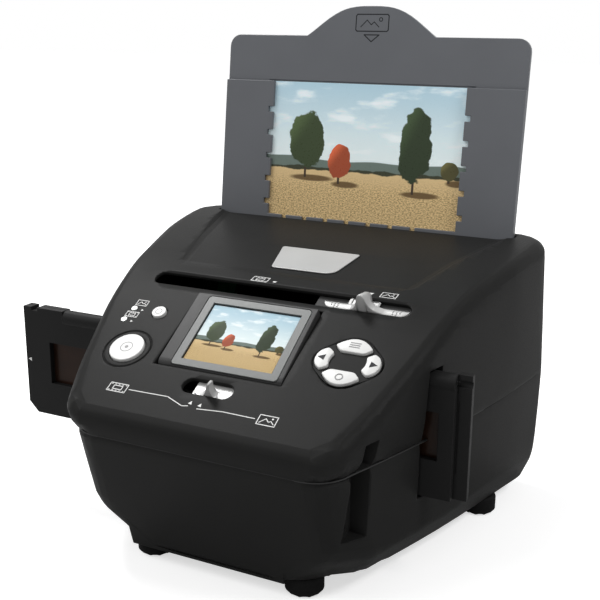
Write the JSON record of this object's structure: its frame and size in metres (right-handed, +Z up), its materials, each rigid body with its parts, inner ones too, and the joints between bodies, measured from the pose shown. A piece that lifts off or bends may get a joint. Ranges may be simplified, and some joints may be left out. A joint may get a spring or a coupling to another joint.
{
  "type": "photo and film scanner",
  "caption": "Desktop scanner for photo prints and film strips: sloping control panel with tilting screen, upright sliding photo tray and film holder that passes through the case.",
  "frame": {"origin": "on the table plane, on the plane of symmetry, straight below the front edge of the control panel", "axes": "+X to the right as the user sees it, +Y to the back, +Z up"},
  "size_m": [0.264, 0.2074, 0.2689],
  "materials": {
    "case_plastic": "fine matt texture",
    "screen_plastic": "satin",
    "tray_plastic": "satin",
    "bezel_plastic": "metallic satin",
    "silver_plastic": "metallic satin",
    "white_plastic": "satin",
    "holder_plastic": "satin",
    "inner_plastic": "matt",
    "foot_rubber": "matt",
    "steel": "brushed",
    "lens_metal": "anodised",
    "ring_metal": "turned",
    "lens_glass": "polished",
    "screen_glass": "lit picture",
    "lamp_plastic": "clear",
    "diffuser_plastic": "matt",
    "board": "solder mask",
    "chip_plastic": "matt",
    "film": "film base",
    "print_paper": "photo paper"
  },
  "bodies": {
    "case": {"lower_case": "case_plastic", "upper_case": "case_plastic", "rubber_feet": "foot_rubber", "foot_screws": "steel", "case_screws": "steel", "name_plate": "silver_plastic", "screen_hinge_pins": "steel", "button_boards": "board", "button_switches": "chip_plastic", "status_lamps": "lamp_plastic", "light_rails": "steel", "rail_supports": "inner_plastic", "lens_barrel": "lens_metal", "lenses": "lens_glass", "camera_mount": "inner_plastic", "camera_board": "board", "image_sensor": "chip_plastic", "film_gate": "inner_plastic", "tray_guides": "inner_plastic", "photo_light_boards": "board", "photo_lamps": "lamp_plastic", "main_board": "board", "main_chips": "chip_plastic", "card_board": "board", "card_socket": "steel", "usb_socket": "steel"},
    "screen": {"screen_housing": "screen_plastic", "screen_bezel": "bezel_plastic", "screen_panel": "screen_glass"},
    "scan_press": {"scan_button": "white_plastic"},
    "power_press": {"power_button": "white_plastic"},
    "up_press": {"up_key": "white_plastic"},
    "down_press": {"down_key": "white_plastic"},
    "left_press": {"left_key": "white_plastic"},
    "right_press": {"right_key": "white_plastic"},
    "light_source": {"light_slider_knob": "silver_plastic", "light_carriage": "inner_plastic", "light_box": "white_plastic", "light_diffuser": "diffuser_plastic", "light_board": "board"},
    "focus_slider": {"focus_lever": "silver_plastic"},
    "focus_turner": {"focus_ring": "ring_metal"},
    "film_holder": {"holder_front_leaf": "holder_plastic", "holder_rear_leaf": "holder_plastic", "holder_hinge_pin": "steel", "film_strip": "film"},
    "photo_tray": {"tray_back_plate": "tray_plastic", "tray_front_frame": "tray_plastic", "photo_print": "print_paper"}
  },
  "joints": [
    {"name": "tray_slide", "type": "slide", "parent": "case", "child": "photo_tray", "axis": [0, 0.1201, 0.9928], "range_m": [-0.105, 0]},
    {"name": "film_holder_slide", "type": "slide", "parent": "case", "child": "film_holder", "axis": [1, 0, 0], "range_m": [-0.076, 0.114]},
    {"name": "light_source_slide", "type": "slide", "parent": "case", "child": "light_source", "axis": [1, 0, 0], "range_m": [-0.05, 0]},
    {"name": "focus_slide", "type": "slide", "parent": "case", "child": "focus_slider", "axis": [1, 0, 0], "range_m": [-0.006, 0]},
    {"name": "focus_turn", "type": "hinge", "parent": "case", "child": "focus_turner", "pos_m": [0, 0.02225, 0.0756], "axis": [0, 1, 0], "range_deg": [-23.38, 0]},
    {"name": "screen_tilt", "type": "hinge", "parent": "case", "child": "screen", "pos_m": [-0.004, 0.03584, 0.10018], "axis": [1, 0, 0], "range_deg": [-4, 45]},
    {"name": "scan_press_travel", "type": "slide", "parent": "case", "child": "scan_press", "axis": [0, 0.4695, -0.8829], "range_m": [0, 0.0005], "stiffness_N_per_m": 500, "springref_m": -0.0006},
    {"name": "power_press_travel", "type": "slide", "parent": "case", "child": "power_press", "axis": [0, 0.4695, -0.8829], "range_m": [0, 0.0005], "stiffness_N_per_m": 500, "springref_m": -0.0006},
    {"name": "up_press_travel", "type": "slide", "parent": "case", "child": "up_press", "axis": [0, 0.4695, -0.8829], "range_m": [0, 0.0005], "stiffness_N_per_m": 500, "springref_m": -0.0006},
    {"name": "down_press_travel", "type": "slide", "parent": "case", "child": "down_press", "axis": [0, 0.4695, -0.8829], "range_m": [0, 0.0005], "stiffness_N_per_m": 500, "springref_m": -0.0006},
    {"name": "left_press_travel", "type": "slide", "parent": "case", "child": "left_press", "axis": [0, 0.4695, -0.8829], "range_m": [0, 0.0005], "stiffness_N_per_m": 500, "springref_m": -0.0006},
    {"name": "right_press_travel", "type": "slide", "parent": "case", "child": "right_press", "axis": [0, 0.4695, -0.8829], "range_m": [0, 0.0005], "stiffness_N_per_m": 500, "springref_m": -0.0006}
  ],
  "couplings": [
    {"joint": "focus_turn", "follows": "focus_slide", "rad_per_m": 68.006}
  ]
}
